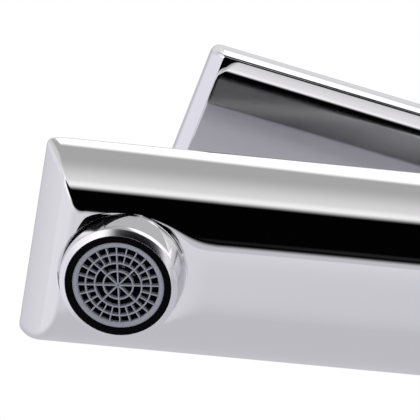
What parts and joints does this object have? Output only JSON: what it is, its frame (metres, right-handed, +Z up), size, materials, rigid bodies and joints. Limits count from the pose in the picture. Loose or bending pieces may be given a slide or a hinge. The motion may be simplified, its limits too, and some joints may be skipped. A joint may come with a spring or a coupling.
{
  "type": "basin mixer",
  "caption": "Chromed basin mixer tap: flat-topped spout with a rounded belly and leaning aerator, slim lever over a ceramic-disc cartridge, stud fixing under the deck",
  "frame": {"origin": "on the column's axis, at the face that sits on the basin's deck", "axes": "+Z up, spout towards -Y, +X to the right of a person who faces the spout's back"},
  "size_m": [0.0623, 0.1639, 0.2079],
  "materials": {
    "chrome": "polished chrome plate on brass",
    "steel": "plain zinc-plated or stainless steel",
    "brass": "turned brass",
    "rubber": "black moulded rubber",
    "ceramic": "lapped alumina ceramic",
    "white_plastic": "moulded engineering plastic",
    "black_plastic": "black moulded plastic",
    "grey_plastic": "grey moulded plastic"
  },
  "bodies": {
    "root": {"mixer_body": "chrome", "base_seal": "rubber", "fixing_stud": "steel", "deck_gasket": "rubber", "clamp_plate": "steel", "fixing_nut": "brass", "cartridge_base": "white_plastic", "port_seals": "rubber", "fixed_disc": "ceramic", "cartridge_housing": "white_plastic", "retaining_nut": "brass", "dome_cover": "chrome", "aerator_housing": "chrome", "aerator_washer": "rubber", "inlet_strainer": "steel", "aerator_insert": "black_plastic", "jet_plate": "grey_plastic", "aerator_grid": "grey_plastic"},
    "collar": {"turning_collar": "white_plastic", "pivot_pin": "steel"},
    "lever": {"lever": "chrome", "lever_stem": "brass", "grub_screw": "steel", "index_cap": "chrome"},
    "mixing_disc": {"moving_disc": "ceramic", "disc_driver": "white_plastic"}
  },
  "joints": [
    {"name": "lever_turn", "type": "hinge", "parent": "root", "child": "collar", "pos_m": [0, 0, 0.109], "axis": [0, 0, 1], "range_deg": [-56.3, 33.7]},
    {"name": "lever_lift", "type": "hinge", "parent": "collar", "child": "lever", "pos_m": [0, 0, 0.109], "axis": [-0.9806, -0.1959, 0], "range_deg": [0, 22]},
    {"name": "disc_slide", "type": "slide", "parent": "collar", "child": "mixing_disc", "axis": [0.1959, -0.9806, 0], "range_m": [0, 0.00412]}
  ],
  "couplings": [
    {"joint": "disc_slide", "follows": "lever_lift", "m_per_rad": 0.01073}
  ]
}
